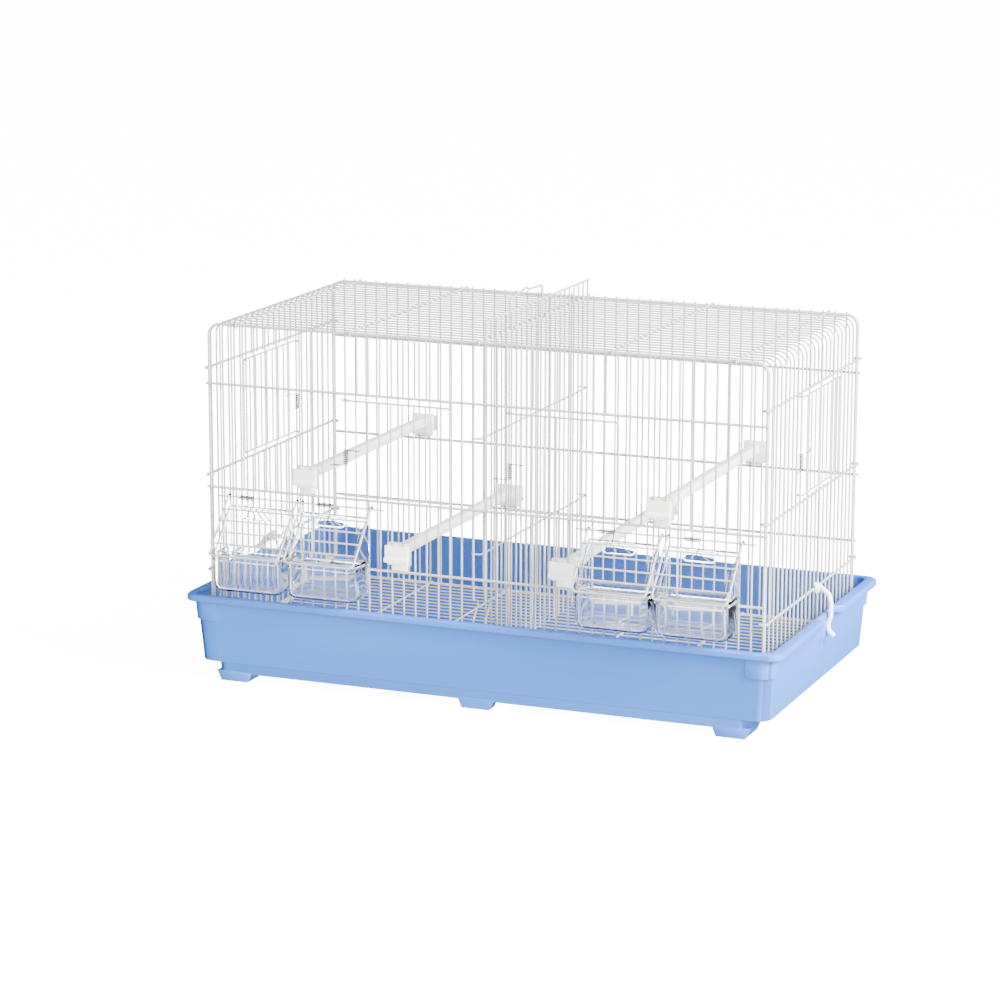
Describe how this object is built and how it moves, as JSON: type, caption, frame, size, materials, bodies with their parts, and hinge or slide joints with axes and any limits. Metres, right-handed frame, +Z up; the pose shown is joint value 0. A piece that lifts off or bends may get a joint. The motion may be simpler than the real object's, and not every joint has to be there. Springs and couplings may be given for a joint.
{
  "type": "bird breeding cage",
  "caption": "Rectangular wire breeding cage with compartments on a moulded tray, with hinged doors, hung feeders under wire flaps, perches, a lift-out divider and a folding handle.",
  "frame": {"origin": "middle of the bounding box, at the bottom of the feet", "axes": "+X to the right seen from the front, +Y to the back, +Z up; the feeders are on the -Y side"},
  "size_m": [0.6504, 0.3784, 0.4094],
  "materials": {
    "white_coated_wire": "satin white coating",
    "blue_plastic": "semi-gloss moulded",
    "white_plastic": "satin moulded",
    "clear_plastic": "clear glossy",
    "spring_steel": "dull metal"
  },
  "bodies": {
    "cage": {"base_tray": "blue_plastic", "floor_grille": "white_coated_wire", "front_panel": "white_coated_wire", "back_panel": "white_coated_wire", "side_grille_left": "white_coated_wire", "side_grille_right": "white_coated_wire", "shoulder_wires_left": "white_coated_wire", "shoulder_wires_right": "white_coated_wire", "roof_grille": "white_coated_wire", "divider_guide_upper": "white_coated_wire", "divider_guide_lower": "white_coated_wire", "feeder_bin_1": "clear_plastic", "feeder_hood_1": "clear_plastic", "feeder_bin_2": "clear_plastic", "feeder_hood_2": "clear_plastic", "feeder_bin_3": "clear_plastic", "feeder_hood_3": "clear_plastic", "feeder_bin_4": "clear_plastic", "feeder_hood_4": "clear_plastic", "perch_upper_left": "white_plastic", "perch_upper_right": "white_plastic", "perch_lower_left": "white_plastic", "perch_lower_right": "white_plastic", "perch_clip_upper_left_front": "white_plastic", "perch_clip_upper_left_back": "white_plastic", "perch_clip_upper_right_front": "white_plastic", "perch_clip_upper_right_back": "white_plastic", "perch_clip_lower_left_front": "white_plastic", "perch_clip_lower_left_back": "white_plastic", "perch_clip_lower_right_front": "white_plastic", "perch_clip_lower_right_back": "white_plastic", "front_door_spring_left": "spring_steel", "front_door_spring_right": "spring_steel", "side_door_spring_left": "spring_steel", "side_door_spring_right": "spring_steel", "flap_spring_1": "spring_steel", "flap_spring_2": "spring_steel", "flap_spring_3": "spring_steel", "flap_spring_4": "spring_steel"},
    "front_door_left": {"front_door_left": "white_coated_wire"},
    "front_door_right": {"front_door_right": "white_coated_wire"},
    "side_door_left": {"side_door_left": "white_coated_wire"},
    "side_door_right": {"side_door_right": "white_coated_wire"},
    "carry_handle": {"carry_handle": "white_coated_wire"},
    "divider_comb": {"divider_comb": "white_coated_wire"},
    "feeder_flap_1": {"feeder_flap_1": "white_coated_wire"},
    "feeder_flap_2": {"feeder_flap_2": "white_coated_wire"},
    "feeder_flap_3": {"feeder_flap_3": "white_coated_wire"},
    "feeder_flap_4": {"feeder_flap_4": "white_coated_wire"},
    "side_latch_left": {"side_latch_left": "white_plastic"},
    "side_latch_right": {"side_latch_right": "white_plastic"}
  },
  "joints": [
    {"name": "front_door_left_hinge", "type": "hinge", "parent": "cage", "child": "front_door_left", "pos_m": [-0.14607, -0.13765, 0.25525], "axis": [0, 0, -1], "range_deg": [0, 120], "stiffness_Nm_per_rad": 0.004, "springref_deg": -34.38, "deforming": ["front_door_spring_left"]},
    {"name": "front_door_right_hinge", "type": "hinge", "parent": "cage", "child": "front_door_right", "pos_m": [0.03176, -0.13765, 0.25525], "axis": [0, 0, -1], "range_deg": [0, 120], "stiffness_Nm_per_rad": 0.004, "springref_deg": -34.38, "deforming": ["front_door_spring_right"]},
    {"name": "side_door_left_hinge", "type": "hinge", "parent": "cage", "child": "side_door_left", "pos_m": [-0.2985, 0.06883, 0.27075], "axis": [0, 0, -1], "range_deg": [0, 120], "stiffness_Nm_per_rad": 0.004, "springref_deg": -34.38, "deforming": ["side_door_spring_left"]},
    {"name": "side_door_right_hinge", "type": "hinge", "parent": "cage", "child": "side_door_right", "pos_m": [0.2985, -0.0258, 0.27075], "axis": [0, 0, -1], "range_deg": [0, 120], "stiffness_Nm_per_rad": 0.004, "springref_deg": -34.38, "deforming": ["side_door_spring_right"]},
    {"name": "feeder_flap_1_hinge", "type": "hinge", "parent": "cage", "child": "feeder_flap_1", "pos_m": [-0.23838, -0.1393, 0.194], "axis": [-1, 0, 0], "range_deg": [0, 48], "stiffness_Nm_per_rad": 0.004, "springref_deg": -34.38, "deforming": ["flap_spring_1"]},
    {"name": "feeder_flap_2_hinge", "type": "hinge", "parent": "cage", "child": "feeder_flap_2", "pos_m": [-0.15538, -0.1393, 0.194], "axis": [-1, 0, 0], "range_deg": [0, 48], "stiffness_Nm_per_rad": 0.004, "springref_deg": -34.38, "deforming": ["flap_spring_2"]},
    {"name": "feeder_flap_3_hinge", "type": "hinge", "parent": "cage", "child": "feeder_flap_3", "pos_m": [0.15538, -0.1393, 0.194], "axis": [-1, 0, 0], "range_deg": [0, 48], "stiffness_Nm_per_rad": 0.004, "springref_deg": -34.38, "deforming": ["flap_spring_3"]},
    {"name": "feeder_flap_4_hinge", "type": "hinge", "parent": "cage", "child": "feeder_flap_4", "pos_m": [0.23838, -0.1393, 0.194], "axis": [-1, 0, 0], "range_deg": [0, 48], "stiffness_Nm_per_rad": 0.004, "springref_deg": -34.38, "deforming": ["flap_spring_4"]},
    {"name": "carry_handle_hinge", "type": "hinge", "parent": "cage", "child": "carry_handle", "pos_m": [0, -0.00549, 0.37375], "axis": [0, -1, 0], "range_deg": [0, 80]},
    {"name": "divider_comb_slide", "type": "slide", "parent": "cage", "child": "divider_comb", "axis": [0, 0, 1], "range_m": [0, 0.325]},
    {"name": "side_latch_left_hinge", "type": "hinge", "parent": "cage", "child": "side_latch_left", "pos_m": [-0.3012, 0.02151, 0.115], "axis": [0, 1, 0], "range_deg": [0, 60]},
    {"name": "side_latch_right_hinge", "type": "hinge", "parent": "cage", "child": "side_latch_right", "pos_m": [0.3012, 0.02151, 0.115], "axis": [0, -1, 0], "range_deg": [0, 60]}
  ]
}
